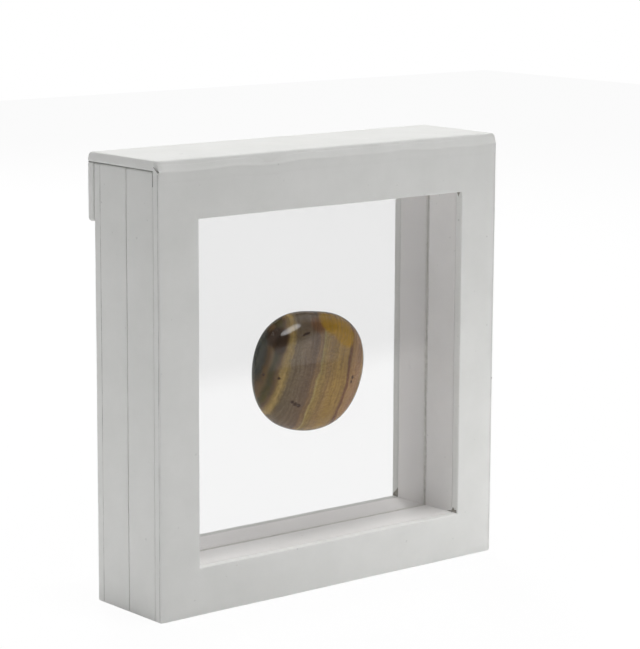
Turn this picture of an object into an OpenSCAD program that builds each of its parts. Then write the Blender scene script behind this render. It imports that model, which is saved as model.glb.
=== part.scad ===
// Floating picture frame. Two square halves of paper-covered board, each with a window,
// hold a tumbled stone between two clear elastic films. A spine board over the top and
// a flap down the back join the halves, which open like a book.
// X is the width, Y runs from front to back and Z is up. The origin is the middle of
// the footprint, on the surface that the frame stands on.

/* [Box] */
// Width of the frame, from side to side
box_w = 110; // [90:1:150]
// Height of the two halves, without the spine above them
box_h = 110.6; // [90:0.2:150]
// Depth of one half, from its outer face to the joint
half_d = 13.1; // [12.5:0.1:18]
// Gap between the closed halves
joint_gap = 0.3; // [0.1:0.1:0.6]
// Width of the rim round the window
rim_w = 12; // [11:0.5:18]

/* [Board and paper] */
// Thickness of the panel, spine and flap boards
board_t = 2; // [1.6:0.1:2.6]
// Thickness of the cover paper
paper_t = 0.2; // [0.1:0.05:0.3]
// Width of the cover paper that is turned in behind a board
turn_in = 5; // [3:0.5:5]

/* [Spine and flap] */
// Gap between the top of the halves and the spine
spine_gap = 0.3; // [0.2:0.1:0.6]
// Gap between the back panel and the flap, filled by the glue line
flap_gap = 0.4; // [0.2:0.1:0.6]
// Height of the flap
flap_h = 14.5; // [12:0.5:30]
// Radius of the spine's top front edge
spine_front_r = 0.8; // [0.5:0.1:2]
// Radius of the spine's top back edge
spine_back_r = 2; // [0.8:0.1:2]
// Radius of the flap's two lower edges
flap_r = 1; // [0.5:0.1:1.1]

/* [Films] */
// Thickness of each elastic film
film_t = 0.1; // [0.1:0.05:0.2]
// Thickness of the card frame that holds each film down
card_t = 0.4; // [0.3:0.1:0.8]
// Width of film that is glued down round the window
film_margin = 8; // [4:0.5:10]
// Gap between a film and the stone
film_gap = 0.3; // [0.2:0.1:0.5]
// Share of the stone's radius at which a film leaves the stone
film_leaves = 0.64; // [0.5:0.02:0.7]

/* [Stone] */
// Mean radius of the stone's outline
stone_r = 16.6; // [10:0.2:22]
// Thickness of the stone
stone_d = 17; // [10:0.5:18]
// Distance of the stone to the right of the window's middle
stone_x = 1.9; // [-8:0.1:8]
// Distance of the stone above the window's middle
stone_z = -1; // [-8:0.1:8]
// Squareness of the stone's edge, where 2 is an ellipse
stone_edge = 2.2; // [2:0.1:3]

/* [Magnets] */
// Diameter of a closing magnet
magnet_d = 8; // [5:0.5:9]
// Thickness of a closing magnet
magnet_t = 2; // [1:0.5:3]
// Distance of a magnet's middle from the frame's side
magnet_inset = 20; // [10:1:35]
// Gap between a magnet and its pocket
magnet_gap = 0.1; // [0.05:0.05:0.2]

/* [Hidden] */
$fn = 48;

// A board with cover paper on both sides
panel_t = board_t + 2 * paper_t;
// Depth of the two closed halves
closed_d = 2 * half_d + joint_gap;
// Depth of the whole frame, flap included
total_d = closed_d + flap_gap + panel_t;
// Y of the front face
front_y = -total_d / 2;
// Width and height of the finished window
window_w = box_w - 2 * rim_w;
window_h = box_h - 2 * rim_w;
// Places inside a half, measured from its outer face
board_back = paper_t + board_t;
film_y = half_d - card_t - film_t;
middle_y = half_d + joint_gap / 2;
// Underside of the spine
spine_z = box_h + spine_gap;
// Inner face and lower edge of the flap
flap_y = closed_d + flap_gap;
flap_z = box_h - flap_h;
// Height of the stone's middle above the base
stone_height = rim_w + window_h / 2 + stone_z;
// Swells of the stone's outline: order, share of the radius, angle in degrees
stone_swells = [[2, 0.041, 2], [3, 0.021, 65], [4, 0.022, 142]];
// Steps round the stone and from its front to its back
stone_sectors = 36;
stone_rings = 12;
// Steps of a film along each side of the window, over the stone and beside it
film_side_steps = 12;
film_over_rings = 4;
film_free_rings = 8;
// How far a cutting solid runs past the face that it cuts
cut = 1;

paper_white = [0.9, 0.9, 0.89];
board_grey = [0.66, 0.63, 0.58];
core_tan = [0.78, 0.66, 0.5];
film_clear = [0.9, 0.95, 0.97, 0.35];
stone_brown = [0.42, 0.3, 0.16];

// A block between two corners
module block(low, high) {
    translate(low) cube(high - low);
}

// The box's outline, drawn in by inset, between two depths
module plate(y0, y1, inset) {
    block(
        [-box_w / 2 + inset, y0, inset],
        [box_w / 2 - inset, y1, box_h - inset]
    );
}

// The window's outline, widened by grow, between two depths
module window_block(y0, y1, grow) {
    block(
        [-window_w / 2 - grow, y0, rim_w - grow],
        [window_w / 2 + grow, y1, rim_w + window_h + grow]
    );
}

// A flat ring from the outline, drawn in by inset, to the window, widened by grow
module ring(y0, y1, inset, grow) {
    difference() {
        plate(y0, y1, inset);
        window_block(y0 - cut, y1 + cut, grow);
    }
}

// Places a piece of the front half
module in_front() {
    translate([0, front_y, 0]) children();
}

// Places the mirrored piece of the back half
module in_back() {
    translate([0, front_y + closed_d, 0]) mirror([0, 1, 0]) children();
}

module panel_board() {
    ring(paper_t, board_back, paper_t, paper_t);
}

// Cover paper on the panel's face, round its outer and window edges and turned in
// behind it, which leaves a bare strip along the middle of the rim
module face_wrap() {
    difference() {
        ring(0, panel_t, 0, 0);
        panel_board();
        ring(board_back - paper_t, panel_t + cut, turn_in, turn_in);
    }
}

// A core strip between two points of the rim's plane
module rail(low_x, high_x, low_z, high_z) {
    block([low_x, panel_t, low_z], [high_x, film_y, high_z]);
}

// Outer and inner edges of the core strips
rail_out_x = box_w / 2 - paper_t;
rail_in_x = window_w / 2 + paper_t;
rail_bottom_z = paper_t;
rail_sill_z = rim_w - paper_t;
rail_head_z = rim_w + window_h + paper_t;
rail_top_z = box_h - paper_t;
magnet_x = box_w / 2 - magnet_inset;
magnet_z = (rail_bottom_z + rail_sill_z) / 2;

module rail_top() {
    rail(-rail_out_x, rail_out_x, rail_head_z, rail_top_z);
}

module rail_side() {
    rail(rail_in_x, rail_out_x, rail_sill_z, rail_head_z);
}

// The two magnets, or their pockets, in the joint side of the bottom rail
module magnet_pair(gap) {
    for (side = [-1, 1])
        translate([side * magnet_x, film_y - magnet_t - gap, magnet_z])
            rotate([-90, 0, 0])
                cylinder(d = magnet_d + 2 * gap, h = magnet_t + gap * (1 + cut));
}

module rail_bottom() {
    difference() {
        rail(-rail_out_x, rail_out_x, rail_bottom_z, rail_sill_z);
        magnet_pair(magnet_gap);
    }
}

module magnets() {
    intersection() {
        magnet_pair(0);
        plate(0, film_y, 0);
    }
}

// Paper round the left side, the top and the right side
module side_wrap() {
    difference() {
        plate(panel_t, half_d, 0);
        block(
            [-rail_out_x, panel_t - cut, -cut],
            [rail_out_x, half_d + cut, rail_top_z]
        );
    }
}

// The strip that closes the wrap under the half
module base_strip() {
    block([-rail_out_x, panel_t, 0], [rail_out_x, half_d, paper_t]);
}

// Paper on the four window walls behind the panel
module window_lining() {
    difference() {
        window_block(panel_t, film_y, paper_t);
        window_block(0, film_y + cut, 0);
    }
}

module film_card() {
    ring(film_y + film_t, half_d, paper_t, 0);
}

// Share of the mean radius that the stone's outline has at an angle
function outline(a) = 1
    + stone_swells[0][1] * cos(stone_swells[0][0] * a - stone_swells[0][2])
    + stone_swells[1][1] * cos(stone_swells[1][0] * a - stone_swells[1][2])
    + stone_swells[2][1] * cos(stone_swells[2][0] * a - stone_swells[2][2]);

// A sine or cosine drawn towards 1, which squares off the edge
function squared(v) = sign(v) * pow(abs(v), 2 / stone_edge);

// A point of the stone at angle a round it and angle t from its edge to its back
function stone_point(a, t) = [
    stone_r * outline(a) * squared(cos(t)) * cos(a),
    stone_d / 2 * squared(sin(t)),
    stone_r * outline(a) * squared(cos(t)) * sin(a)
];

// The stone in a half's own place
module stone_solid() {
    turn = 360 / stone_sectors;
    rise = 180 / stone_rings;
    last = 1 + (stone_rings - 1) * stone_sectors;
    points = concat(
        [stone_point(0, -90)],
        [
            for (j = [1 : stone_rings - 1])
                for (i = [0 : stone_sectors - 1])
                    stone_point(i * turn, -90 + j * rise)
        ],
        [stone_point(0, 90)]
    );
    function at(i, j) = 1 + (j - 1) * stone_sectors + i % stone_sectors;
    faces = concat(
        [for (i = [0 : stone_sectors - 1]) [0, at(i, 1), at(i + 1, 1)]],
        [
            for (j = [1 : stone_rings - 2])
                for (i = [0 : stone_sectors - 1])
                    [at(i, j), at(i, j + 1), at(i + 1, j)]
        ],
        [
            for (j = [1 : stone_rings - 2])
                for (i = [0 : stone_sectors - 1])
                    [at(i + 1, j), at(i, j + 1), at(i + 1, j + 1)]
        ],
        [
            for (i = [0 : stone_sectors - 1])
                [at(i, stone_rings - 1), last, at(i + 1, stone_rings - 1)]
        ]
    );
    translate([stone_x, middle_y, stone_height])
        polyhedron(points = points, faces = faces);
}

// Points round a rectangle about the window's middle, from its lower left corner
function around(half_w, half_h) = let (
    corners = [[-half_w, -half_h], [half_w, -half_h], [half_w, half_h], [-half_w, half_h]]
) [
    for (side = [0 : 3])
        for (k = [0 : film_side_steps - 1])
            corners[side]
                + (corners[(side + 1) % 4] - corners[side]) * k / film_side_steps
];

// How far a film stands off its plane over the stone, at a share of the stone's radius
function film_over(share) = (stone_d / 2 + film_gap + film_t)
    * pow(1 - pow(share, stone_edge), 1 / stone_edge)
    - (middle_y - film_y);

// A film's height at a share of the way from where it leaves the stone, at radius near,
// to the window's edge, at radius far. It falls as a stretched skin does, fastest at
// the stone.
function film_free(share, near, far) =
    film_over(film_leaves) * ln(far / (near + share * (far - near))) / ln(far / near);

// The points of a film's outer side, or of its inner side when deeper by film_t
function film_side(deeper) = let (
    middle = [stone_x, stone_z],
    edge = around(window_w / 2, window_h / 2),
    margin = around(window_w / 2 + film_margin, window_h / 2 + film_margin),
    count = len(edge),
    reach = [for (p = edge) norm(p - middle)],
    angle = [for (p = edge) atan2(p[1] - stone_z, p[0] - stone_x)],
    leave = [for (a = angle) film_leaves * (stone_r * outline(a) + film_gap + film_t)]
) concat(
    [film_point(middle, film_over(0), deeper)],
    [
        for (j = [1 : film_over_rings])
            for (i = [0 : count - 1])
                let (share = j / film_over_rings)
                    film_point(
                        middle + share * leave[i] * [cos(angle[i]), sin(angle[i])],
                        film_over(share * film_leaves), deeper
                    )
    ],
    [
        for (j = [1 : film_free_rings])
            for (i = [0 : count - 1])
                let (share = j / film_free_rings)
                    film_point(
                        middle + (leave[i] + share * (reach[i] - leave[i]))
                            * [cos(angle[i]), sin(angle[i])],
                        film_free(share, leave[i], reach[i]), deeper
                    )
    ],
    [for (p = margin) film_point(p, 0, deeper)]
);

// A film's point at a place in the window's plane and a height off the film's plane
function film_point(place, height, deeper) =
    [place[0], film_y - height + deeper, rim_w + window_h / 2 + place[1]];

// The film, stretched over the stone, with its glued margin round the window
module film() {
    count = 4 * film_side_steps;
    rings = film_over_rings + film_free_rings + 1;
    inner = 1 + rings * count;
    function at(i, j) = 1 + (j - 1) * count + i % count;
    polyhedron(
        points = concat(film_side(0), film_side(film_t)),
        faces = concat(
            [for (i = [0 : count - 1]) [0, at(i, 1), at(i + 1, 1)]],
            [
                for (j = [1 : rings - 1])
                    for (i = [0 : count - 1])
                        [at(i, j), at(i, j + 1), at(i + 1, j)]
            ],
            [
                for (j = [1 : rings - 1])
                    for (i = [0 : count - 1])
                        [at(i + 1, j), at(i, j + 1), at(i + 1, j + 1)]
            ],
            [for (i = [0 : count - 1]) [inner, inner + at(i + 1, 1), inner + at(i, 1)]],
            [
                for (j = [1 : rings - 1])
                    for (i = [0 : count - 1])
                        [inner + at(i, j), inner + at(i + 1, j), inner + at(i, j + 1)]
            ],
            [
                for (j = [1 : rings - 1])
                    for (i = [0 : count - 1])
                        [inner + at(i + 1, j), inner + at(i + 1, j + 1), inner + at(i, j + 1)]
            ],
            [
                for (i = [0 : count - 1])
                    [at(i, rings), inner + at(i, rings), at(i + 1, rings)]
            ],
            [
                for (i = [0 : count - 1])
                    [at(i + 1, rings), inner + at(i, rings), inner + at(i + 1, rings)]
            ]
        )
    );
}

// A quarter of a disc above and to the right of the origin
module quarter(r) {
    intersection() {
        circle(r = r);
        square(r);
    }
}

// The spine's section in Y and Z, drawn in by inset, with its two top edges rounded.
// A radius is at most the board's thickness.
module spine_section(inset) {
    front_r = min(spine_front_r, board_t) - inset;
    back_r = min(spine_back_r, board_t) - inset;
    depth = total_d - 2 * inset;
    height = panel_t - 2 * inset;
    translate([inset, inset]) {
        translate([front_r, 0]) square([depth - front_r - back_r, height]);
        square([front_r, height - front_r]);
        translate([depth - back_r, 0]) square([back_r, height - back_r]);
        translate([front_r, height - front_r]) mirror([1, 0]) quarter(front_r);
        translate([depth - back_r, height - back_r]) quarter(back_r);
    }
}

// The flap's section in Y and Z, drawn in by inset, with its two lower edges rounded.
// The radius is at most half the board's thickness.
module flap_section(inset) {
    edge_r = min(flap_r, board_t / 2) - inset;
    depth = panel_t - 2 * inset;
    height = flap_h - 2 * inset;
    translate([inset, inset]) {
        translate([0, edge_r]) square([depth, height - edge_r]);
        translate([edge_r, 0]) square([depth - 2 * edge_r, edge_r]);
        translate([edge_r, edge_r]) rotate(180) quarter(edge_r);
        translate([depth - edge_r, edge_r]) mirror([0, 1]) quarter(edge_r);
    }
}

// A section in Y and Z drawn out along the frame's width, short of each end by inset
module along_width(inset) {
    translate([-box_w / 2 + inset, 0, 0])
        rotate([90, 0, 90])
            linear_extrude(box_w - 2 * inset)
                children();
}

module in_spine() {
    translate([0, front_y, spine_z]) children();
}

module in_flap() {
    translate([0, front_y + flap_y, flap_z]) children();
}

// The part of the spine's underside that the turned-in cover paper leaves bare
module spine_bare(y_in, z0, z1) {
    block(
        [-box_w / 2 + turn_in, y_in, z0],
        [box_w / 2 - turn_in, total_d - y_in, z1]
    );
}

module spine_cover() {
    difference() {
        along_width(0) spine_section(0);
        along_width(paper_t) spine_section(paper_t);
        spine_bare(paper_t, -cut, paper_t + cut);
    }
}

// Cover paper on the flap, open on the inner face inside the turned-in edges
module flap_cover() {
    difference() {
        along_width(0) flap_section(0);
        along_width(paper_t) flap_section(paper_t);
        block(
            [-box_w / 2 + turn_in, -cut, turn_in],
            [box_w / 2 - turn_in, paper_t + cut, flap_h - paper_t]
        );
    }
}

module front_board() { color(board_grey) in_front() panel_board(); }
module front_face_wrap() { color(paper_white) in_front() face_wrap(); }
module front_rail_top() { color(core_tan) in_front() rail_top(); }
module front_rail_bottom() { color(core_tan) in_front() rail_bottom(); }
module front_rail_left() { color(core_tan) in_front() mirror([1, 0, 0]) rail_side(); }
module front_rail_right() { color(core_tan) in_front() rail_side(); }
module front_side_wrap() { color(paper_white) in_front() side_wrap(); }
module front_base_strip() { color(paper_white) in_front() base_strip(); }
module front_window_lining() { color(paper_white) in_front() window_lining(); }
module front_film() { color(film_clear) in_front() film(); }
module front_film_card() { color(paper_white) in_front() film_card(); }
module front_magnets() { color("silver") in_front() magnets(); }
module display_stone() { color(stone_brown) in_front() stone_solid(); }

module spine_board() { color(board_grey) in_spine() along_width(paper_t) spine_section(paper_t); }
module spine_wrap() { color(paper_white) in_spine() spine_cover(); }
module spine_lining() { color(paper_white) in_spine() spine_bare(paper_t, 0, paper_t); }
module flap_board() { color(board_grey) in_flap() along_width(paper_t) flap_section(paper_t); }
module flap_wrap() { color(paper_white) in_flap() flap_cover(); }

module back_board() { color(board_grey) in_back() panel_board(); }
module back_face_wrap() { color(paper_white) in_back() face_wrap(); }
module back_rail_top() { color(core_tan) in_back() rail_top(); }
module back_rail_bottom() { color(core_tan) in_back() rail_bottom(); }
module back_rail_left() { color(core_tan) in_back() mirror([1, 0, 0]) rail_side(); }
module back_rail_right() { color(core_tan) in_back() rail_side(); }
module back_side_wrap() { color(paper_white) in_back() side_wrap(); }
module back_base_strip() { color(paper_white) in_back() base_strip(); }
module back_window_lining() { color(paper_white) in_back() window_lining(); }
module back_film() { color(film_clear) in_back() film(); }
module back_film_card() { color(paper_white) in_back() film_card(); }
module back_magnets() { color("silver") in_back() magnets(); }

front_board();
front_face_wrap();
front_rail_top();
front_rail_bottom();
front_rail_left();
front_rail_right();
front_side_wrap();
front_base_strip();
front_window_lining();
front_film();
front_film_card();
front_magnets();
display_stone();
spine_board();
spine_wrap();
spine_lining();
flap_board();
flap_wrap();
back_board();
back_face_wrap();
back_rail_top();
back_rail_bottom();
back_rail_left();
back_rail_right();
back_side_wrap();
back_base_strip();
back_window_lining();
back_film();
back_film_card();
back_magnets();
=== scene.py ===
import math

import bmesh
import bpy
import numpy as np
from mathutils import Matrix, Vector, noise

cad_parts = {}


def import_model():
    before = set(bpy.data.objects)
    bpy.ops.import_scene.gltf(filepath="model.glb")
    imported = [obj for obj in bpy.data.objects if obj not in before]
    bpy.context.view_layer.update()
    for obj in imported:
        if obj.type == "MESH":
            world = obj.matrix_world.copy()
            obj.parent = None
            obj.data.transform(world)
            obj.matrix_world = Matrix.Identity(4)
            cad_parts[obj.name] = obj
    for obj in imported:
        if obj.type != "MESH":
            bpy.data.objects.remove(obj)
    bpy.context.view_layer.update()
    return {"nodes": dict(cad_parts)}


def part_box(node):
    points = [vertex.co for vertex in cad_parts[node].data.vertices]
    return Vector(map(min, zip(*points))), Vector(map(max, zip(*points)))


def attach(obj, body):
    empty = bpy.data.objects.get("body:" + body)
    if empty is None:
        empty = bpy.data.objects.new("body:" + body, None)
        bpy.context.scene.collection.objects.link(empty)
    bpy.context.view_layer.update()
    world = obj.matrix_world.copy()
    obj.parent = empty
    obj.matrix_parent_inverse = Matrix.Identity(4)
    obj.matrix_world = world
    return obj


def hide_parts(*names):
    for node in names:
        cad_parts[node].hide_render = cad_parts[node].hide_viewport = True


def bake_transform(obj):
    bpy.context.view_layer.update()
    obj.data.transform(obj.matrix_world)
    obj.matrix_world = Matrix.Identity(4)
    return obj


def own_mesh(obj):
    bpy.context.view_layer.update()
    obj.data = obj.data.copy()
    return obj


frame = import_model()

MM = 0.001

# Vectors of noise start from the clock unless they are seeded. This keeps the paper's
# waviness the same in each run.
SEED = 1
noise.seed_set(SEED)

# Sizes read from the frame. A depth is measured from the outer face of its half.
WRAP_LOW, WRAP_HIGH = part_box("front_face_wrap")
WIDTH = WRAP_HIGH.x - WRAP_LOW.x
HEIGHT = WRAP_HIGH.z
FRONT = WRAP_LOW.y
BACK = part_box("back_face_wrap")[1].y
PANEL = WRAP_HIGH.y - FRONT
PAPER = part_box("front_board")[0].y - FRONT
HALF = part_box("front_side_wrap")[1].y - FRONT
LINING_LOW, LINING_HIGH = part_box("front_window_lining")
RIM = LINING_LOW.x + PAPER - WRAP_LOW.x
FILM = LINING_HIGH.y - FRONT
FILM_LOW, FILM_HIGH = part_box("front_film")
FILM_THICK = FILM_HIGH.y - LINING_HIGH.y
FILM_MARGIN = LINING_LOW.x + PAPER - FILM_LOW.x
SPINE_LOW, SPINE_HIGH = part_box("spine_wrap")
FLAP_LOW, FLAP_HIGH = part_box("flap_wrap")
TURN_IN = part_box("spine_lining")[0].x - SPINE_LOW.x
STONE_LOW, STONE_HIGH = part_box("display_stone")

# Radii of the paper's folds
FOLD = 0.35 * MM
BACK_FOLD = 0.18 * MM
WINDOW_FOLD = 0.3 * MM
INNER_FOLD = 0.1 * MM
SEAM_FOLD = 0.1 * MM
JOINT_FOLD = 0.09 * MM
OUTER_CORNER = 0.5 * MM
WINDOW_CORNER = 0.25 * MM

# The spine's front face stands back and leans, its under side comes down to a thin gap,
# and its edges are rounded
SPINE_BACK = 0.2 * MM
SPINE_LEAN = 0.45 * MM
SPINE_DOWN = 0.13 * MM
SPINE_FRONT_EDGE = 0.6 * MM
SPINE_BACK_EDGE = 1.9 * MM
SPINE_LEFT_CORNER = 1.6 * MM
SPINE_RIGHT_END = 1.1 * MM
SPINE_UNDER = 0.2 * MM
SPINE_ENDS = (FOLD, SPINE_LEFT_CORNER, SPINE_RIGHT_END)
FLAP_EDGE = 1.0 * MM
FLAP_INNER_EDGE = 0.8 * FLAP_EDGE

# How finely the paper is cut, so that it can be a little uneven
CELL = 1.6 * MM
EDGE_CELLS = 64
CORNER_CELLS = 4
ARC_CELLS = 4

# The stone: mean radius, half its thickness, the squareness of its edge, its middle,
# and the swells of its outline as (order, share of the radius, angle in degrees)
STONE_RADIUS = 16.6 * MM
STONE_HALF = (STONE_HIGH.y - STONE_LOW.y) / 2
STONE_EDGE = 2.2
STONE_SWELLS = ((2, 0.041, 2), (3, 0.021, 65), (4, 0.022, 142))
STONE_MIDDLE = Vector((1.9 * MM, (STONE_LOW.y + STONE_HIGH.y) / 2, 54.3 * MM))


def place_y(half, depth):
    """The Y of a depth below the outer face of the front or back half."""
    return FRONT + depth if half == "front" else BACK - depth


def body_of_half(half):
    return half + "_half"


def camera():
    """The camera, at the photograph's angle."""
    place = Vector((-409.306, -500.621, 182.039)) * MM
    turn, tilt, roll = 0.694198, 0.177782, 0.005119
    focal_pixels, frame_height, sensor = 2555.245, 649, 36.0
    shift_right_pixels, shift_up_pixels, nearest = -1.0, 1.1, 0.01
    forward = Vector(
        (math.sin(turn) * math.cos(tilt), math.cos(turn) * math.cos(tilt), -math.sin(tilt))
    )
    level = Vector((math.cos(turn), -math.sin(turn), 0))
    upright = level.cross(forward)
    right = level * math.cos(roll) + upright * math.sin(roll)
    up = upright * math.cos(roll) - level * math.sin(roll)
    data = bpy.data.cameras.new("camera")
    data.sensor_fit = "VERTICAL"
    data.sensor_height = sensor
    data.lens = focal_pixels * sensor / frame_height
    data.shift_x = shift_right_pixels / frame_height
    data.shift_y = shift_up_pixels / frame_height
    data.clip_start = nearest
    obj = bpy.data.objects.new("camera", data)
    axes = Matrix((right, up, -forward)).transposed()
    obj.matrix_world = Matrix.Translation(place) @ axes.to_4x4()
    bpy.context.scene.collection.objects.link(obj)
    bpy.context.scene.camera = obj


def add_node(tree, kind, sockets=None, **settings):
    """A shader node with its settings, and its sockets set or linked."""
    node = tree.nodes.new(kind)
    for key, value in settings.items():
        setattr(node, key, value)
    for key, value in (sockets or {}).items():
        put(tree, value, node.inputs[key])
    return node


def put(tree, value, socket):
    """Links a socket to another one, or sets it to a plain value."""
    if isinstance(value, bpy.types.NodeSocket):
        tree.links.new(value, socket)
    else:
        socket.default_value = value


def maths(tree, operation, *values):
    """What a Math node makes of the values."""
    node = add_node(tree, "ShaderNodeMath", operation=operation)
    for value, socket in zip(values, node.inputs):
        put(tree, value, socket)
    return node.outputs[0]


def step_between(tree, value, low, high, first=0.0, last=1.0):
    """Goes smoothly from first to last as value goes from low to high."""
    sockets = {"Value": value, "From Min": low, "From Max": high, "To Min": first, "To Max": last}
    node = add_node(tree, "ShaderNodeMapRange", sockets, interpolation_type="SMOOTHSTEP")
    return node.outputs["Result"]


def mixed(tree, share, first, second):
    """A share of the second colour in the first."""
    factor, colour_a, colour_b, colour_out = 0, 6, 7, 2
    node = add_node(tree, "ShaderNodeMix", data_type="RGBA")
    for value, index in ((share, factor), (first, colour_a), (second, colour_b)):
        put(tree, value, node.inputs[index])
    return node.outputs[colour_out]


def ramp(tree, value, low, high, stops):
    """The colours of the stops (place, colour), with places between low and high."""
    node = add_node(tree, "ShaderNodeValToRGB")
    elements = node.color_ramp.elements
    while len(elements) < len(stops):
        elements.new(0.5)
    for element, (place, colour) in zip(elements, stops):
        element.position = (place - low) / (high - low)
        element.color = (*colour, 1)
    share = maths(tree, "DIVIDE", maths(tree, "SUBTRACT", value, low), high - low)
    tree.links.new(share, node.inputs["Fac"])
    return node.outputs["Color"]


def grain(tree, place, scale, detail=2.0, roughness=0.5):
    """Noise about 0.5 at a place, with so many cells as scale says to one unit of it."""
    sockets = {"Vector": place, "Scale": scale, "Detail": detail, "Roughness": roughness}
    return add_node(tree, "ShaderNodeTexNoise", sockets).outputs["Fac"]


def object_place(tree):
    return add_node(tree, "ShaderNodeTexCoord").outputs["Object"]


def blank(name, roughness, specular=0.5):
    """A new material with its node tree and its main shader."""
    material = bpy.data.materials.new(name)
    material.use_nodes = True
    shader = material.node_tree.nodes["Principled BSDF"]
    shader.inputs["Roughness"].default_value = roughness
    shader.inputs["Specular IOR Level"].default_value = specular
    return material, material.node_tree, shader


def sees_through(tree):
    """The Light Path node, and 1 for rays that show the background as it is, straight
    from the camera or through something clear."""
    path = add_node(tree, "ShaderNodeLightPath")
    straight = path.outputs["Is Camera Ray"]
    return path, maths(tree, "MAXIMUM", straight, path.outputs["Is Transmission Ray"])


def world(level):
    """White behind the object and an even light on it. Gloss shows surroundings that are
    bright on the camera's side, darker behind the object and under a dark ceiling."""
    ceiling, ceiling_starts, ceiling_full = 0.1, 0.42, 0.54
    behind, bright, bright_starts, bright_full = 0.3, 1.0, -0.5, 0.3
    toward_camera = (-0.64, -0.77)
    scene_world = bpy.data.worlds.new("studio")
    bpy.context.scene.world = scene_world
    scene_world.use_nodes = True
    tree = scene_world.node_tree
    shown = tree.nodes["Background"]
    shown.inputs["Color"].default_value = (1, 1, 1, 1)
    direction = add_node(tree, "ShaderNodeTexCoord").outputs["Generated"]
    x, y, rise = add_node(tree, "ShaderNodeSeparateXYZ", {"Vector": direction}).outputs
    facing = maths(tree, "MULTIPLY", y, toward_camera[1])
    facing = maths(tree, "MULTIPLY_ADD", x, toward_camera[0], facing)
    walls = step_between(tree, facing, bright_starts, bright_full, behind, bright)
    room = step_between(tree, rise, ceiling_starts, ceiling_full, walls, ceiling)
    path, through = sees_through(tree)
    extra = maths(tree, "SUBTRACT", room, level)
    light = maths(tree, "MULTIPLY_ADD", path.outputs["Is Glossy Ray"], extra, level)
    tree.links.new(maths(tree, "MAXIMUM", light, through), shown.inputs["Strength"])


def floor_material(shadow_share):
    """A white floor that keeps a share of the object's shadow."""
    tone, tone_in_gloss = 0.95, 0.45
    material, tree, shader = blank("floor_white", 0.9, 0.0)
    shader.inputs["Base Color"].default_value = (tone, tone, tone, 1)
    path, through = sees_through(tree)
    strength = maths(tree, "MAXIMUM", through, tone_in_gloss)
    glow = add_node(tree, "ShaderNodeEmission", {"Color": (1, 1, 1, 1), "Strength": strength})
    seen = maths(tree, "MAXIMUM", through, path.outputs["Is Glossy Ray"])
    share = maths(tree, "MULTIPLY", seen, 1 - shadow_share)
    mix = add_node(tree, "ShaderNodeMixShader", {"Fac": share})
    tree.links.new(shader.outputs[0], mix.inputs[1])
    tree.links.new(glow.outputs[0], mix.inputs[2])
    tree.links.new(mix.outputs[0], tree.nodes["Material Output"].inputs["Surface"])
    return material


def floor():
    """The floor, low enough for the uneven paper of the base to stand on it."""
    reach, low, shadow_share = 1.2, -0.06 * MM, 0.05
    corners = [(x * reach, y * reach, low) for x, y in ((-1, -1), (1, -1), (1, 1), (-1, 1))]
    obj = mesh_object("floor", corners, [(0, 1, 2, 3)], floor_material(shadow_share))


def lamp(name, place, aim, size, watts):
    """A disc lamp that isn't seen itself, neither directly nor in gloss."""
    data = bpy.data.lights.new(name, "AREA")
    data.shape = "DISK"
    data.size = size
    data.energy = watts
    obj = bpy.data.objects.new(name, data)
    obj.location = place
    obj.rotation_euler = (Vector(aim) - Vector(place)).to_track_quat("-Z", "Y").to_euler()
    obj.visible_camera = False
    obj.visible_glossy = False
    bpy.context.scene.collection.objects.link(obj)
    return obj


def soft_box():
    """A wide lamp above the front that shows in gloss alone, as the stone's highlight."""
    place, width, depth, watts = (-0.05, -0.37, 0.9), 0.72, 0.36, 3.4
    obj = lamp("soft_box", place, tuple(STONE_MIDDLE), width, watts)
    obj.data.shape = "ELLIPSE"
    obj.data.size_y = depth
    obj.visible_glossy = True
    obj.visible_diffuse = False


# The lamps that don't show in gloss, as (name, place, aim, size, watts), in metres
MIDDLE = (0, 0, 0.05)
LAMPS = (
    ("over_back", (0, 0.3, 0.9), MIDDLE, 0.7, 1.55),
    ("behind_right", (0.35, 0.7, 0.5), MIDDLE, 0.3, 3.4),
    ("over_front", (0, -0.42, 0.9), MIDDLE, 0.75, 1.68),
    ("overhead", (0, -0.07, 0.9), MIDDLE, 0.12, 2.58),
    ("near_left", (-0.16, 0, 0.004), (-0.05, 0, 0.02), 0.09, 0.014),
    ("near_right", (0.06, -0.12, 0.004), (0.05, 0, 0.02), 0.09, 0.052),
    ("left_wall", (-0.35, 0.35, 0.12), (0.043, 0, 0.055), 0.25, 0.19),
)


def lights():
    """The world's even light and all the lamps."""
    even_light = 0.2
    bpy.context.scene.view_settings.view_transform = "Standard"
    world(even_light)
    soft_box()
    for name, place, aim, size, watts in LAMPS:
        lamp(name, place, aim, size, watts)


def mesh_object(name, points, faces, material, sharp=35):
    """A mesh from points and faces, with its normals out and its sharp edges kept."""
    mesh = bpy.data.meshes.new(name)
    mesh.from_pydata([tuple(p) for p in points], [], [tuple(f) for f in faces])
    shaped = bmesh.new()
    shaped.from_mesh(mesh)
    bmesh.ops.recalc_face_normals(shaped, faces=shaped.faces)
    shaped.to_mesh(mesh)
    shaped.free()
    mesh.shade_smooth()
    mesh.set_sharp_from_angle(angle=math.radians(sharp))
    mesh.materials.append(material)
    obj = bpy.data.objects.new(name, mesh)
    bpy.context.scene.collection.objects.link(obj)
    return obj


def hand_made(point):
    """How far a point of wrapped paper lies from where it was drawn, by a broad and a
    fine waviness of a length and a swing in mm."""
    broad_length, broad_swing = 26, 0.06
    fine_length, fine_swing, fine_start = 7, 0.022, Vector((7, 3, 5))
    broad = noise.noise_vector(point / (broad_length * MM)) * broad_swing * MM
    fine = noise.noise_vector(point / (fine_length * MM) + fine_start) * fine_swing * MM
    return broad + fine


def uneven(points):
    """The points, each moved as hand-wrapped paper is."""
    return [p + hand_made(p) for p in map(Vector, points)]


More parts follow.
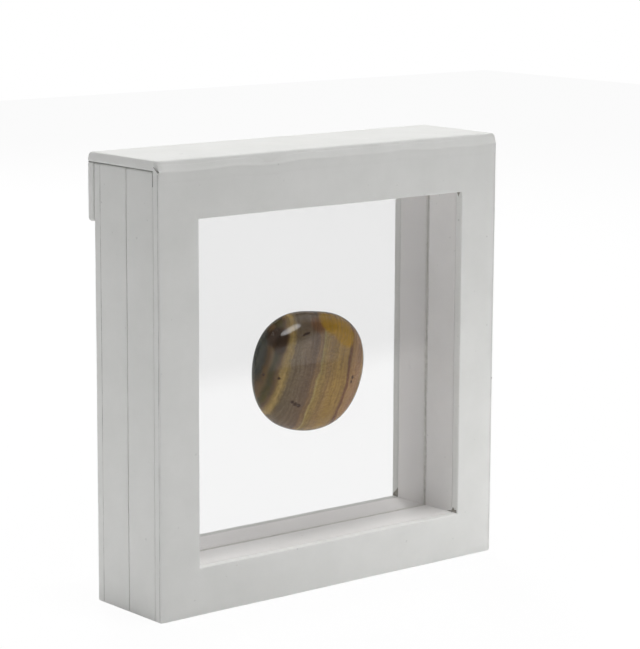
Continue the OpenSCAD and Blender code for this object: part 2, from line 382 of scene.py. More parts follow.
def rounded_turns(corners):
    """The points of a closed section's corners, given as (across, along, radius)."""
    points = []
    for i, (a, b, radius) in enumerate(corners):
        here = Vector((a, b))
        if radius == 0:
            points.append(here)
            continue
        before = (Vector(corners[i - 1][:2]) - here).normalized()
        after = (Vector(corners[(i + 1) % len(corners)][:2]) - here).normalized()
        half_angle = before.angle(after) / 2
        middle = here + (before + after).normalized() * radius / math.sin(half_angle)
        start = (here + before * radius / math.tan(half_angle) - middle).normalized()
        end = (here + after * radius / math.tan(half_angle) - middle).normalized()
        points += [middle + start.slerp(end, k / ARC_CELLS) * radius for k in range(ARC_CELLS + 1)]
    return points


def rounded(corners, like=None):
    """A closed section through rounded corners, with its long stretches cut into cells,
    as many as in the section like."""
    points = rounded_turns(corners)
    model = rounded_turns(like or corners)
    cut = []
    for i, point in enumerate(points):
        after = points[(i + 1) % len(points)]
        length = (model[(i + 1) % len(points)] - model[i]).length
        steps = max(1, round(length / CELL))
        cut += [point.lerp(after, k / steps) for k in range(steps)]
    return cut


def outline(inset):
    """Points round the box's outline, drawn in by inset, as (x, z)."""
    corner = OUTER_CORNER + (WINDOW_CORNER - OUTER_CORNER) * inset / RIM
    half_w = WIDTH / 2 - inset - corner
    low, high = inset + corner, HEIGHT - inset - corner
    middles = [(half_w, low), (half_w, high), (-half_w, high), (-half_w, low)]
    shares = [k / CORNER_CELLS for k in range(CORNER_CELLS + 1)]
    arcs = []
    for quarter, (x, z) in enumerate(middles):
        turns = [math.radians(90 * (quarter - 1 + share)) for share in shares]
        arcs.append([Vector((x + corner * math.cos(t), z + corner * math.sin(t))) for t in turns])
    points = []
    for arc, after in zip(arcs, arcs[1:] + arcs[:1]):
        points += arc
        points += [arc[-1].lerp(after[0], k / EDGE_CELLS) for k in range(1, EDGE_CELLS)]
    return points


def grid_faces(across, along, close_across=True, close_along=True):
    """The quads between points that lie in rows, joined round where asked."""
    faces = []
    for i in range(across if close_across else across - 1):
        for j in range(along if close_along else along - 1):
            i2, j2 = (i + 1) % across, (j + 1) % along
            faces.append((i * along + j, i2 * along + j, i2 * along + j2, i * along + j2))
    return faces


def ring(name, half, corners, material):
    """A section of (inset, depth, radius) corners, swept round the frame."""
    section = rounded(corners)
    paths = [outline(inset) for inset, _ in section]
    points = [
        (path[i].x, place_y(half, depth), path[i].y)
        for i in range(len(paths[0]))
        for (_, depth), path in zip(section, paths)
    ]
    faces = grid_faces(len(paths[0]), len(section))
    obj = mesh_object(name, uneven(points), faces, material)
    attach(obj, body_of_half(half))
    return obj


def panel_wrap(half, material):
    """The cover paper round a half's panel, turned in behind it at both edges."""
    inner = PANEL - PAPER
    fold = FOLD if half == "front" else BACK_FOLD
    corners = [
        (TURN_IN, PANEL, 0),
        (0, PANEL, fold),
        (0, 0, fold),
        (RIM, 0, WINDOW_FOLD),
        (RIM, PANEL, WINDOW_FOLD),
        (RIM - TURN_IN, PANEL, 0),
        (RIM - TURN_IN, inner, 0),
        (RIM - PAPER, inner, 0),
        (RIM - PAPER, PAPER, INNER_FOLD),
        (PAPER, PAPER, INNER_FOLD),
        (PAPER, inner, 0),
        (TURN_IN, inner, 0),
    ]
    obj = ring(half + "_cover", half, corners, material)
    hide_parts(half + "_face_wrap")


def tray_skin(half, material):
    """The cover paper round a half's sides, from the panel to the joint."""
    corners = [
        (0, PANEL, SEAM_FOLD),
        (0, HALF, JOINT_FOLD),
        (PAPER, HALF, 0),
        (PAPER, PANEL, 0),
    ]
    obj = ring(half + "_tray_skin", half, corners, material)
    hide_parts(half + "_side_wrap", half + "_base_strip")


def window_lining(half, material):
    """The paper on a half's window walls, from the panel to the film."""
    corners = [
        (RIM, PANEL, SEAM_FOLD),
        (RIM, FILM, 0),
        (RIM - PAPER, FILM, 0),
        (RIM - PAPER, PANEL, 0),
    ]
    obj = ring(half + "_lining", half, corners, material)
    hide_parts(half + "_window_lining")


def film_card(half, material):
    """The card that holds the film. Behind its edge the front one is a little thicker and
    closes most of the gap at the joint."""
    gap, closed_share, step = BACK - FRONT - 2 * HALF, 0.8, 1.5 * MM
    raised = HALF + closed_share * gap
    thick = [(PAPER, raised, 0), (RIM - step, raised, 0), (RIM - step, HALF, 0)]
    even = [(PAPER, HALF, 0)]
    corners = [
        (PAPER, FILM + FILM_THICK, 0),
        *(thick if half == "front" else even),
        (RIM, HALF, SEAM_FOLD),
        (RIM, FILM + FILM_THICK, 0),
    ]
    obj = ring(half + "_card", half, corners, material)
    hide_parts(half + "_film_card")


def swell(angle):
    """Share of the mean radius that the stone's outline has at an angle."""
    swells = [
        share * np.cos(order * angle - math.radians(lag)) for order, share, lag in STONE_SWELLS
    ]
    return 1 + sum(swells)


def stone_rise(x, z):
    """How far the stone's face lies in front of its middle, or 0 beside it."""
    x, z = x - STONE_MIDDLE.x, z - STONE_MIDDLE.z
    reach = np.hypot(x, z) / (STONE_RADIUS * swell(np.arctan2(z, x)))
    inside = np.clip(1 - np.minimum(reach, 1) ** STONE_EDGE, 0, 1)
    return STONE_HALF * inside ** (1 / STONE_EDGE)


def film_rise(xs, zs):
    """How far the stretched film stands off its plane: a soap film over the stone,
    fixed at the window's edge."""
    gap, rounds, hair = 0.06 * MM, 2500, 1e-6
    side, low, high = WIDTH / 2 - RIM - hair, RIM + hair, HEIGHT - RIM - hair
    x, z = np.meshgrid(xs, zs, indexing="ij")
    stone = stone_rise(x, z)
    floor_rise = np.where(stone > 0, stone - (STONE_MIDDLE.y - FRONT - FILM) + gap, 0)
    floor_rise = np.maximum(floor_rise, 0)
    window = (abs(x) < side) & (z > low) & (z < high)
    rise = floor_rise.copy()
    for _ in range(rounds):
        mean = np.zeros_like(rise)
        mean[1:-1, 1:-1] = (rise[2:, 1:-1] + rise[:-2, 1:-1] + rise[1:-1, 2:] + rise[1:-1, :-2]) / 4
        rise = np.where(window, np.maximum(mean, floor_rise), 0)
    return rise


def film_lines(low, high):
    """Grid lines over a window and the margin that is held on both sides of it."""
    margin, window_lines = [0, 0.5, 1], 88
    inside = np.linspace(low, high, window_lines)
    before = [low - FILM_MARGIN * (1 - k) for k in margin[:-1]]
    after = [high + FILM_MARGIN * k for k in margin[1:]]
    return np.array([*before, *inside, *after])


def film(half, material):
    """A half's film: two grids a thickness apart, joined round their border."""
    xs = film_lines(RIM - WIDTH / 2, WIDTH / 2 - RIM)
    zs = film_lines(RIM, HEIGHT - RIM)
    rise = film_rise(xs, zs)
    points = []
    for depth in (FILM, FILM + FILM_THICK):
        for i, x in enumerate(xs):
            points += [(x, place_y(half, depth - rise[i, j]), z) for j, z in enumerate(zs)]
    rows, line = len(xs), len(zs)
    face = grid_faces(rows, line, False, False)
    other = rows * line
    faces = face + [tuple(k + other for k in reversed(f)) for f in face]
    border = [i * line for i in range(rows)]
    border += [(rows - 1) * line + j for j in range(1, line)]
    border += [i * line + line - 1 for i in range(rows - 2, -1, -1)]
    border += list(range(line - 2, 0, -1))
    for a, b in zip(border, border[1:] + border[:1]):
        faces.append((b, a, a + other, b + other))
    obj = mesh_object(half + "_clear_film", points, faces, material, sharp=60)
    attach(obj, body_of_half(half))
    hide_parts(half + "_film")
    return obj


def stone(material):
    """The tumbled stone: a ball drawn onto its squared form, a little smaller, with
    shallow worn dents of a (length, depth) in mm."""
    dents, smaller = ((9, 0.12), (3, 0.03)), 0.06 * MM
    shaped = bmesh.new()
    bmesh.ops.create_icosphere(shaped, subdivisions=6, radius=1)
    for vert in shaped.verts:
        x, y, z = vert.co
        wide = math.hypot(x, z) / (STONE_RADIUS * float(swell(math.atan2(z, x))))
        reach = (wide ** STONE_EDGE + (abs(y) / STONE_HALF) ** STONE_EDGE) ** (-1 / STONE_EDGE)
        spot = Vector((x, y, z)) * reach
        dent = sum(noise.noise(spot / (length * MM)) * depth * MM for length, depth in dents)
        vert.co = STONE_MIDDLE + spot + vert.co.normalized() * (dent - smaller)
    mesh = bpy.data.meshes.new("tumbled_stone")
    shaped.to_mesh(mesh)
    shaped.free()
    mesh.shade_smooth()
    mesh.materials.append(material)
    obj = bpy.data.objects.new("tumbled_stone", mesh)
    bpy.context.scene.collection.objects.link(obj)
    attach(obj, "front_half")
    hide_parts("display_stone")


def drawn_in(distance, radius):
    """How far an edge of that radius is drawn in at a distance from the end."""
    return radius - math.sqrt(radius ** 2 - max(radius - distance, 0) ** 2)


def stations(reach, radii):
    """Distances along a bar that is reach long, close at its two rounded ends."""
    turns = [math.radians(90 * k / ARC_CELLS) for k in range(ARC_CELLS + 1)]
    ends = sorted({round(r * (1 - math.cos(t)), 9) for r in radii for t in turns})
    marks = [ends[-1], TURN_IN, reach - TURN_IN, reach - ends[-1]]
    middle = []
    for a, b in zip(marks, marks[1:]):
        cells = max(1, round((b - a) / CELL))
        middle += [a + (b - a) * k / cells for k in range(cells)]
    return ends[:-1] + middle + [reach - d for d in reversed(ends)]


def along_width(name, section, radii, bare, material, inset=0.0):
    """A section of (y, z, radius) corners drawn along X over the frame's width, short of
    each end by inset. section is called with the distances from the two ends, and radii
    are the roundings of these. Faces whose middle is bare are left out."""
    reach = WIDTH - 2 * inset
    places = stations(reach, radii)
    middle = section(reach / 2, reach / 2)
    loops = [rounded(section(x, reach - x), middle) for x in places]
    most = len(loops[0])
    points = [(x - reach / 2, p.x, p.y) for x, loop in zip(places, loops) for p in loop]
    faces = grid_faces(len(places), most, close_across=False)
    last = (len(places) - 1) * most
    faces += [tuple(range(most)), tuple(range(last + most - 1, last - 1, -1))]
    kept = [f for f in faces if not bare(sum((Vector(points[k]) for k in f), Vector()) / len(f))]
    return mesh_object(name, uneven(points), kept, material)


def paper_shell(name, section, radii, bare, material):
    """Cover paper round such a section, open where the middle of a face is bare."""
    obj = along_width(name, section, radii, bare, material)
    paper = obj.modifiers.new("paper", "SOLIDIFY")
    paper.thickness = PAPER
    paper.offset = -1
    return obj


def no_face(middle):
    """Says of each face that it isn't bare."""
    return False


def spine_section(inset):
    """The spine's section, drawn in by inset all round. Its front face leans back. Where
    the ends are drawn in, its roundings are smaller."""
    low_y, high_y = SPINE_LOW.y + SPINE_BACK + inset, SPINE_HIGH.y - inset
    low_z, high_z = SPINE_LOW.z - SPINE_DOWN + inset, SPINE_HIGH.z - inset

    def section(left, right):
        ends = drawn_in(left, FOLD) + drawn_in(right, FOLD)
        front = drawn_in(left, SPINE_LEFT_CORNER) + drawn_in(right, FOLD)
        top = drawn_in(left, FOLD) + drawn_in(right, SPINE_RIGHT_END)
        under = SPINE_UNDER - ends / 3
        if inset:
            under /= 2
        return [
            (low_y + front, low_z + ends, under),
            (high_y - ends, low_z + ends, under),
            (high_y - ends, high_z - top, SPINE_BACK_EDGE - inset - top - ends / 2),
            (low_y + SPINE_LEAN + front, high_z - top, SPINE_FRONT_EDGE - inset - top / 3),
        ]

    return section


def spine_wrap(material):
    """The spine's cover paper, turned in all round its under side."""

    def bare(middle):
        inside = abs(middle.x) < WIDTH / 2 - TURN_IN
        across = SPINE_LOW.y + SPINE_BACK + SPINE_UNDER < middle.y < SPINE_HIGH.y - SPINE_UNDER
        return inside and across and middle.z < SPINE_LOW.z + PAPER / 2

    obj = paper_shell("spine_cover", spine_section(0), SPINE_ENDS, bare, material)
    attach(obj, "spine")
    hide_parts("spine_wrap")


def spine_core(material):
    """The spine's board, which leans back at the front as its paper does."""
    section = spine_section(PAPER)
    obj = along_width("spine_core", section, SPINE_ENDS, no_face, material, PAPER)
    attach(obj, "spine")
    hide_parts("spine_board")


def flap_wrap(material):
    """The flap's cover paper, turned in on the side that lies on the back."""
    low_y, high_y = FLAP_LOW.y, FLAP_HIGH.y
    low_z, high_z = FLAP_LOW.z, FLAP_HIGH.z

    def section(left, right):
        ends = drawn_in(left, FOLD) + drawn_in(right, FOLD)
        return [
            (low_y + ends, low_z + ends, FLAP_INNER_EDGE - ends),
            (high_y - ends, low_z + ends, FLAP_EDGE - ends),
            (high_y - ends, high_z - ends, FOLD - ends / 2),
            (low_y + ends, high_z - ends, FOLD - ends / 2),
        ]

    def bare(middle):
        inside = abs(middle.x) < WIDTH / 2 - TURN_IN
        return inside and middle.y < low_y + PAPER / 2 and middle.z > low_z + TURN_IN

    obj = paper_shell("flap_cover", section, (FOLD,), bare, material)
    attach(obj, "back_half")
    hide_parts("flap_wrap")


def crease(name, line, inward, material):
    """Cover paper over a hinge, along the width, through (y, z, share) points of its
    outer side, where share says how much a point follows the spine's rounded left
    corner. The crease itself wanders a little up and down."""
    thick, sway, wave, short = 0.05 * MM, 0.5 * MM, 11 * MM, 0.25 * MM
    length = WIDTH - 2 * short
    beyond = length - SPINE_LEFT_CORNER
    near_cells, cells = 6, round(length / CELL)
    places = [SPINE_LEFT_CORNER * k / near_cells for k in range(near_cells)]
    places += [SPINE_LEFT_CORNER + beyond * k / cells for k in range(cells + 1)]
    loop = line + [(y + inward * thick, z, share) for y, z, share in reversed(line)]
    points = []
    for place in places:
        x = short + place - WIDTH / 2
        wander = noise.noise(Vector((x / wave, inward, 0.5))) * sway
        corner = drawn_in(short + place, SPINE_LEFT_CORNER) if inward > 0 else 0
        for k, (y, z, share) in enumerate(loop):
            row = min(k, len(loop) - 1 - k)
            lift = wander if 0 < row < len(line) - 1 else 0
            points.append((x, y + corner * share, z + lift))
    faces = grid_faces(len(places), len(loop), close_across=False)
    for first in (0, (len(places) - 1) * len(loop)):
        for k in range(len(line) - 1):
            across = (k, k + 1, len(loop) - 2 - k, len(loop) - 1 - k)
            faces.append(tuple(first + j for j in across))
    obj = mesh_object(name, uneven(points), faces, material, sharp=80)
    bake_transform(obj)


def front_crease(material):
    """The crease between the front panel and the spine."""
    proud = 0.04 * MM
    valley = SPINE_LOW.z - 0.35 * MM

    def leaning(z):
        return FRONT + SPINE_BACK + SPINE_LEAN * (z - SPINE_LOW.z) / (SPINE_HIGH.z - SPINE_LOW.z)

    line = [
        (FRONT + proud, valley - 3.0 * MM, 0),
        (FRONT - proud, valley - 2.2 * MM, 0),
        (FRONT - proud, valley - 1.2 * MM, 0),
        (FRONT - proud, valley - 0.3 * MM, 0),
        (FRONT - 1.5 * proud, valley, 0),
        (FRONT - 0.5 * proud, valley + 0.15 * MM, 0.2),
        (FRONT + 2.5 * proud, valley + 0.45 * MM, 0.7),
        (leaning(valley + 0.9 * MM) - proud, valley + 0.9 * MM, 1),
        (leaning(valley + 1.5 * MM) - proud, valley + 1.5 * MM, 1),
        (leaning(valley + 2.0 * MM) + proud, valley + 2.0 * MM, 1),
    ]
    crease("front_crease", line, 1, material)


def back_crease(material):
    """The crease between the flap and the spine."""
    proud = 0.04 * MM
    outer, gap = FLAP_HIGH.y, SPINE_LOW.z - 0.15 * MM
    line = [
        (outer - proud, gap - 2.6 * MM, 0),
        (outer + proud, gap - 1.9 * MM, 0),
        (outer + proud, gap - 1.2 * MM, 0),
        (outer + proud, gap - 0.5 * MM, 0),
        (outer - 0.6 * proud, gap - 0.15 * MM, 0),
        (outer - 2.6 * proud, gap, 0),
        (outer - 0.6 * proud, gap + 0.15 * MM, 0),
        (outer + proud, gap + 0.4 * MM, 0),
        (outer - 2 * proud, gap + 0.75 * MM, 0),
    ]
    crease("back_crease", line, -1, material)


def paper_line(name, body, start, end, across, out, width, material):
    """A thin strip along a seam that shows as a fine dark line on the surface: the cover paper's
    cut edge, with painted shade for the seam's groove.
    """
    proud, sunk = 0.012 * MM, 0.05 * MM
    start, end, across, out = (Vector(v) for v in (start, end, across, out))
    steps = max(1, round((end - start).length / CELL))
    points = []
    for k in range(steps + 1):
        spot = start.lerp(end, k / steps)
        spot += hand_made(spot)
        for side, rise in ((-1, -sunk), (1, -sunk), (1, proud), (-1, proud)):
            points.append(spot + across * side * width / 2 + out * rise)
    last = 4 * steps
    faces = grid_faces(steps + 1, 4, close_across=False)
    faces += [(0, 1, 2, 3), (last, last + 1, last + 2, last + 3)]
    obj = mesh_object(name, points, faces, material)
    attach(obj, body)


def paper_patch(name, body, corners, out, proud, material):
    """A small flat piece between corners, that stands proud of the surface below it."""
    sunk = 0.06 * MM
    out = Vector(out)
    below = [Vector(c) + hand_made(Vector(c)) - out * sunk for c in corners]
    above = [p + out * (sunk + proud) for p in below]
    count = len(corners)
    faces = [tuple(range(count)), tuple(range(count, 2 * count))]
    faces += [(k, (k + 1) % count, count + (k + 1) % count, count + k) for k in range(count)]
    obj = mesh_object(name, below + above, faces, material)
    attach(obj, body)
    return obj


def paper_seams(material):
    """Fine dark lines along the panels' upright edges, and two nicks by the front's right edge, as
    (name, first spot, last spot, width) in mm. They are the cover paper's cut edges, darkened as
    painted shade of the seams' grooves and of the nicks."""
    nicks = (
        ("nick_upper", (54.1, 109.4), (54.8, 109.5), 0.3),
        ("nick_lower", (54.55, 47.6), (54.85, 47.7), 0.35),
    )
    usual, thin, wide = 0.13 * MM, 0.05 * MM, 0.22 * MM
    low, high = 0.5 * MM, HEIGHT - 0.5 * MM
    side, seam, edge = WIDTH / 2, 0.42 * MM, 0.6 * MM
    front, back, up, left, right = (0, -1, 0), (0, 1, 0), (0, 0, 1), (-1, 0, 0), (1, 0, 0)
    for x, name, out in ((-side, "left", left), (side, "right", right)):
        spots = [(x, FRONT + seam, z) for z in (low, high)]
        paper_line("seam_" + name, "front_half", *spots, back, out, usual, material)
    spots = [(-side, BACK - PANEL, z) for z in (low, high)]
    paper_line("seam_back_left", "back_half", *spots, back, left, usual, material)
    spots = [(side - edge, FRONT, z) for z in (low, high)]
    paper_line("seam_front_right", "front_half", *spots, right, front, thin, material)
    for name, first, last, width in nicks:
        spots = [(x * MM, FRONT, z * MM) for x, z in (first, last)]
        paper_line(name, "front_half", *spots, up, front, width * MM, material)
    spots = [(-side, FRONT + PANEL, HEIGHT - z * MM) for z in (3.6, 0.3)]
    paper_line("seam_top_left", "front_half", *spots, back, left, wide, material)


def corner_fold(white, edge):
    """The cover paper folded over the joint at the spine's left front corner, through places (y, z)
    in mm, and a dark strip at its cut edge that is painted shade of the fold's shadow line."""
    side, out, proud, width = -WIDTH / 2, (-1, 0, 0), 0.03 * MM, 0.16 * MM
    fold = ((-14.5, 110.3), (-12.6, 110.3), (-12.4, 111.3), (-13.0, 111.4), (-14.2, 110.8))
    cut, square_to_cut = ((-14.5, 110.5), (-12.7, 111.8)), (0, -0.59, 0.81)
    corners = [(side, y * MM, z * MM) for y, z in fold]
    obj = paper_patch("corner_fold", "spine", corners, out, proud, white)
    spots = [(side - proud, y * MM, z * MM) for y, z in cut]
    paper_line("corner_fold_edge", "spine", *spots, square_to_cut, out, width, edge)


def window_slits(material):
    """The slits in the turned-in paper at the window's corners, where the board shows, as flat dark
    patches whose darkness is partly painted shade of the slits. Each is a shape of (depth, distance
    from the corner) in mm on an upright window wall."""
    low = [(0.4, 0.0), (4.6, 0.0), (3.2, 0.45), (2.4, 0.5), (1.8, 1.6), (1.2, 0.9), (0.5, 1.0)]
    high = [(0.6, 0.0), (2.3, 0.0), (1.9, 0.6), (1.4, 1.4), (1.1, 0.6)]
    wide = [(0.3, 0.0), (2.3, 0.0), (2.35, 2.7), (1.5, 1.7), (0.6, 0.9)]
    shapes, proud = {"front": (low, high), "back": (wide, high)}, 0.02 * MM
    for half, (at_sill, at_head) in shapes.items():
        ends = ((at_sill, RIM, 1, "low"), (at_head, HEIGHT - RIM, -1, "high"))
        for side, where in ((-1, "left"), (1, "right")):
            x, out = side * (WIDTH / 2 - RIM), (-side, 0, 0)
            for shape, z, way, level in ends:
                corners = [(x, place_y(half, depth * MM), z + way * up * MM) for depth, up in shape]
                name = "_".join(("slit", half, where, level))
                obj = paper_patch(name, body_of_half(half), corners, out, proud, material)


def add_bump(tree, shader, height, strength, depth):
    """Bump of a depth, where height is 1, on the main shader."""
    sockets = {"Strength": strength, "Distance": depth, "Height": height}
    bump = add_node(tree, "ShaderNodeBump", sockets)
    tree.links.new(bump.outputs["Normal"], shader.inputs["Normal"])


def paper(name, dark, light):
    """Smooth paper with a faint fibre, soft mottling and a few dull specks."""
    speck_starts, speck_full, speck_shade = 0.74, 0.8, 0.86
    material, tree, shader = blank(name, 0.55, 0.3)
    place = object_place(tree)
    cloud = grain(tree, place, 90.0, 4.0, 0.6)
    tone = ramp(tree, cloud, 0.0, 1.0, [(0.3, dark), (0.7, light)])
    speck = step_between(tree, grain(tree, place, 620.0, 1.0), speck_starts, speck_full)
    dull = tuple(speck_shade * c for c in dark)
    tone = mixed(tree, speck, tone, (*dull, 1))
    tree.links.new(tone, shader.inputs["Base Color"])
    add_bump(tree, shader, grain(tree, place, 1400.0, 3.0, 0.7), 0.35, 0.04 * MM)
    return material


def board(name, dark, light, fine):
    """Grey board or fibreboard: flecked, matt and a little rough. fine is the flecks'
    count in a metre."""
    material, tree, shader = blank(name, 0.85, 0.2)
    place = object_place(tree)
    fleck = grain(tree, place, fine, 3.0, 0.75)
    tone = ramp(tree, fleck, 0.0, 1.0, [(0.35, dark), (0.65, light)])
    tree.links.new(tone, shader.inputs["Base Color"])
    add_bump(tree, shader, fleck, 0.5, 0.08 * MM)
    return material


def nickel():
    """The magnets' plating."""
    material, _, shader = blank("nickel", 0.25)
    shader.inputs["Base Color"].default_value = (0.62, 0.6, 0.56, 1)
    shader.inputs["Metallic"].default_value = 1.0
    return material


def cut_edge_and_seam_shade():
    """The dull raw edge of the cover paper, dark grey as painted shade of the seams' grooves."""
    material, tree, shader = blank("cut_edge_and_seam_shade", 0.8, 0.2)
    place = object_place(tree)
    patchy = grain(tree, place, 160.0, 3.0, 0.6)
    # Dark grey tones: painted shade of the seam grooves on the paper's cut edge
    tone = ramp(tree, patchy, 0.0, 1.0, [(0.38, (0.3, 0.29, 0.27)), (0.62, (0.62, 0.61, 0.59))])
    tree.links.new(tone, shader.inputs["Base Color"])
    return material


def clear_film():
    """Thin clear film: nearly unseen, a little hazier where it is seen aslant and in its
    upper half."""
    haze, aslant, upper = 0.024, 0.04, 0.032
    middle, soft = HEIGHT / 2, 5 * MM
    material, tree, shader = blank("clear_film", 0.15)
    shader.inputs["Base Color"].default_value = (0.08, 0.08, 0.08, 1)
    turned = add_node(tree, "ShaderNodeLayerWeight", {"Blend": 0.5}).outputs["Facing"]
    height = add_node(tree, "ShaderNodeSeparateXYZ", {"Vector": object_place(tree)}).outputs["Z"]
    above = step_between(tree, height, middle - soft, middle + soft, 0.0, upper)
    edge = maths(tree, "MULTIPLY", maths(tree, "POWER", turned, 3.0), aslant)
    veil = maths(tree, "ADD", maths(tree, "ADD", edge, above), haze)
    tree.links.new(veil, shader.inputs["Alpha"])
    return material


def soft_ball(tree, place, middle, radius, soft):
    """1 inside a ball about a middle, falling to 0 over a soft rim."""
    sockets = {0: place, 1: middle}
    far = add_node(tree, "ShaderNodeVectorMath", sockets, operation="DISTANCE").outputs["Value"]
    return step_between(tree, far, radius, radius + soft, 1.0, 0.0)


# The stone's bands, as (distance across them in mm, colour)
STONE_BANDS = (
    (-18.0, (0.034, 0.036, 0.022)),
    (-16.6, (0.046, 0.04, 0.021)),
    (-15.9, (0.12, 0.066, 0.02)),
    (-15.2, (0.15, 0.085, 0.028)),
    (-14.5, (0.08, 0.062, 0.014)),
    (-13.6, (0.08, 0.058, 0.014)),
    (-12.9, (0.14, 0.085, 0.04)),
    (-12.3, (0.21, 0.13, 0.05)),
    (-11.5, (0.37, 0.245, 0.083)),
    (-10.9, (0.44, 0.3, 0.1)),
    (-10.2, (0.31, 0.21, 0.08)),
    (-9.4, (0.18, 0.13, 0.073)),
    (-6.0, (0.182, 0.127, 0.078)),
    (-2.6, (0.16, 0.102, 0.062)),
    (-1.9, (0.24, 0.145, 0.07)),
    (-0.8, (0.26, 0.16, 0.075)),
    (-0.45, (0.36, 0.27, 0.1)),
    (0.0, (0.3, 0.2, 0.065)),
    (2.5, (0.27, 0.166, 0.065)),
    (5.5, (0.33, 0.2, 0.055)),
    (9.1, (0.3, 0.18, 0.055)),
    (9.7, (0.14, 0.06, 0.028)),
    (10.2, (0.16, 0.07, 0.032)),
    (10.9, (0.33, 0.19, 0.075)),
    (14.0, (0.36, 0.2, 0.1)),
    (17.0, (0.3, 0.2, 0.06)),
)

# Places on the stone in mm from its middle, as (middle, radius): tinted balls, each kind
# with its soft rim, the share of its tint and its colour, and the small dark marks
STONE_TINTS = (
    ((((-12.4, -3.2, 10.3), 2.2), ((-12.8, -4.7, 7.9), 0.9)), 1.5, 1.0, (0.05, 0.02, 0.003)),
    ((((-0.8, -5.2, 12.6), 1.5),), 1.4, 0.75, (0.2, 0.085, 0.03)),
    ((((3.6, -4.5, 12.4), 2.6), ((7.4, -5.8, 9.7), 3.0)), 1.6, 0.95, (0.42, 0.225, 0.01)),
)
STONE_MARKS = (
    ((-6.4, -6.1, 10.55), 0.25),
    ((-5.9, -6.1, 10.75), 0.3),
    ((-5.4, -6.1, 10.9), 0.32),
    ((-4.9, -6.15, 11.0), 0.28),
    ((-4.4, -6.2, 11.1), 0.2),
    ((-10.3, -6.4, -6.2), 0.4),
    ((-9.4, -6.5, -6.8), 0.5),
    ((-8.5, -6.7, -7.3), 0.5),
    ((-13.8, -5.3, 0.2), 0.35),
    ((-16.4, -2.2, 1.0), 0.35),
    ((8.9, -7.3, -2.0), 0.45),
    ((8.5, -7.4, -3.1), 0.4),
)


def tinted(tree, place, base, middle, radius, soft, share, tint):
    """The base colour with a share of a tint in a soft ball."""
    ball = soft_ball(tree, place, middle, radius, soft)
    return mixed(tree, maths(tree, "MULTIPLY", ball, share), base, (*tint, 1))


def stone_material():
    """Polished stone with upright silky bands from slate over brown to gold."""
    lean_up, lean_deep = -0.3, -0.35
    silk_width, streak_height = 0.3, 0.06
    mark_core, mark_share, mark_colour = 0.6, 0.9, (0.035, 0.015, 0.008)
    material, tree, shader = blank("tumbled_stone", 0.07, 0.65)
    sockets = {0: object_place(tree), 1: STONE_MIDDLE}
    local = add_node(tree, "ShaderNodeVectorMath", sockets, operation="SUBTRACT").outputs[0]
    sockets = {0: local, "Scale": 1 / MM}
    place = add_node(tree, "ShaderNodeVectorMath", sockets, operation="SCALE").outputs[0]
    parts = add_node(tree, "ShaderNodeSeparateXYZ", {"Vector": place})
    x, y, z = (parts.outputs[axis] for axis in "XYZ")

    # The distance across the bands, which lean and wander
    across = maths(tree, "MULTIPLY_ADD", y, lean_deep, x)
    across = maths(tree, "MULTIPLY_ADD", z, lean_up, across)
    broad = maths(tree, "SUBTRACT", grain(tree, place, 0.14, 2.0), 0.5)
    small = maths(tree, "SUBTRACT", grain(tree, place, 0.9, 3.0, 0.6), 0.5)
    across = maths(tree, "MULTIPLY_ADD", broad, 2.4, across)
    across = maths(tree, "MULTIPLY_ADD", small, 0.9, across)
    colour = ramp(tree, across, STONE_BANDS[0][0], STONE_BANDS[-1][0], STONE_BANDS)
    for balls, soft, share, tint in STONE_TINTS:
        for middle, radius in balls:
            colour = tinted(tree, place, colour, middle, radius, soft, share, tint)

    # Lighter and darker silky fibres and upright streaks
    narrow = maths(tree, "MULTIPLY", across, silk_width)
    silk = add_node(tree, "ShaderNodeCombineXYZ", {"X": narrow, "Y": y, "Z": z})
    fibres = grain(tree, silk.outputs[0], 2.6, 3.0, 0.65)
    tall = maths(tree, "MULTIPLY", z, streak_height)
    upright = add_node(tree, "ShaderNodeCombineXYZ", {"X": across, "Z": tall})
    streaks = grain(tree, upright.outputs[0], 1.5, 3.0, 0.6)
    fibre_shade = step_between(tree, fibres, 0.3, 0.7, 0.82, 1.18)
    streak_shade = step_between(tree, streaks, 0.3, 0.7, 0.8, 1.2)
    shade = maths(tree, "MULTIPLY", fibre_shade, streak_shade)
    shaded = add_node(tree, "ShaderNodeHueSaturation", {"Color": colour, "Value": shade})
    colour = shaded.outputs["Color"]
    for middle, radius in STONE_MARKS:
        core = radius * mark_core
        colour = tinted(tree, place, colour, middle, core, radius, mark_share, mark_colour)
    tree.links.new(colour, shader.inputs["Base Color"])
    return material


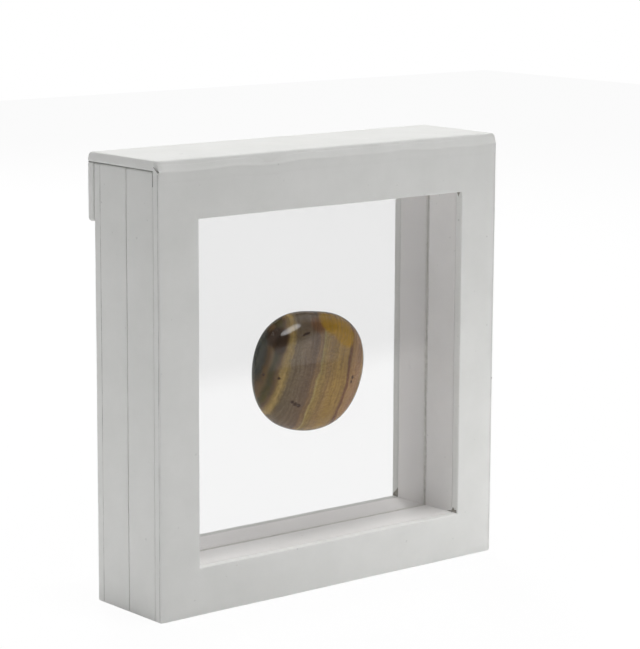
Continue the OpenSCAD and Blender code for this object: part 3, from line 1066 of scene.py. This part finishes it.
def dress_solids(materials):
    """Gives the solids that the scene shows as they are their own materials."""
    for name, obj in frame["nodes"].items():
        for ending, material in materials.items():
            if name.endswith(ending) and not obj.hide_render:
                obj.data.materials.clear()
                obj.data.materials.append(material)


camera()
lights()
floor()

# Each paper and board lies between a dark and a light tone
white = paper("wrap_paper", (0.765, 0.768, 0.748), (0.805, 0.805, 0.788))
# The window lining is one paper shown in two tones: the front half's is darkened as painted shade,
# and the back half's is lightened as painted light from behind
front_lining_painted_shade = paper("front_lining_paper_painted_shade", (0.77, 0.758, 0.748), (0.81, 0.798, 0.788))
back_lining_painted_light = paper("back_lining_paper_painted_light", (0.9, 0.882, 0.87), (0.94, 0.922, 0.91))
clear = clear_film()
# The film card's tone is raised as painted light, so that the shaded gap at the joint, where the
# cards' edges show, reads lighter
grey_card_painted_light = board("film_card", (0.66, 0.65, 0.62), (0.82, 0.81, 0.78), 900.0)
greyboard = board("greyboard", (0.3, 0.28, 0.25), (0.46, 0.44, 0.4), 700.0)
# The slits' board is darker than the greyboard: painted shade in the slits
slit_board_painted_shade = board("slit_board_painted_shade", (0.24, 0.23, 0.2), (0.46, 0.44, 0.4), 900.0)
fibreboard = board("fibreboard", (0.38, 0.26, 0.15), (0.56, 0.42, 0.27), 500.0)
# Dark seam lines: the paper's cut edge, with painted shade of the seams' grooves
edge = cut_edge_and_seam_shade()

for half, lining in (("front", front_lining_painted_shade), ("back", back_lining_painted_light)):
    panel_wrap(half, white)
    tray_skin(half, white)
    window_lining(half, lining)
    film_card(half, grey_card_painted_light)
film("front", clear)
back_film = film("back", clear)
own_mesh(back_film)
stone(stone_material())
spine_wrap(white)
spine_core(greyboard)
flap_wrap(white)
front_crease(white)
back_crease(white)
paper_seams(edge)
corner_fold(white, edge)
window_slits(slit_board_painted_shade)
dress_solids(
    {
        "_board": greyboard,
        "_rail_top": fibreboard,
        "_rail_bottom": fibreboard,
        "_rail_left": fibreboard,
        "_rail_right": fibreboard,
        "_magnets": nickel(),
        "spine_lining": front_lining_painted_shade,
    }
)
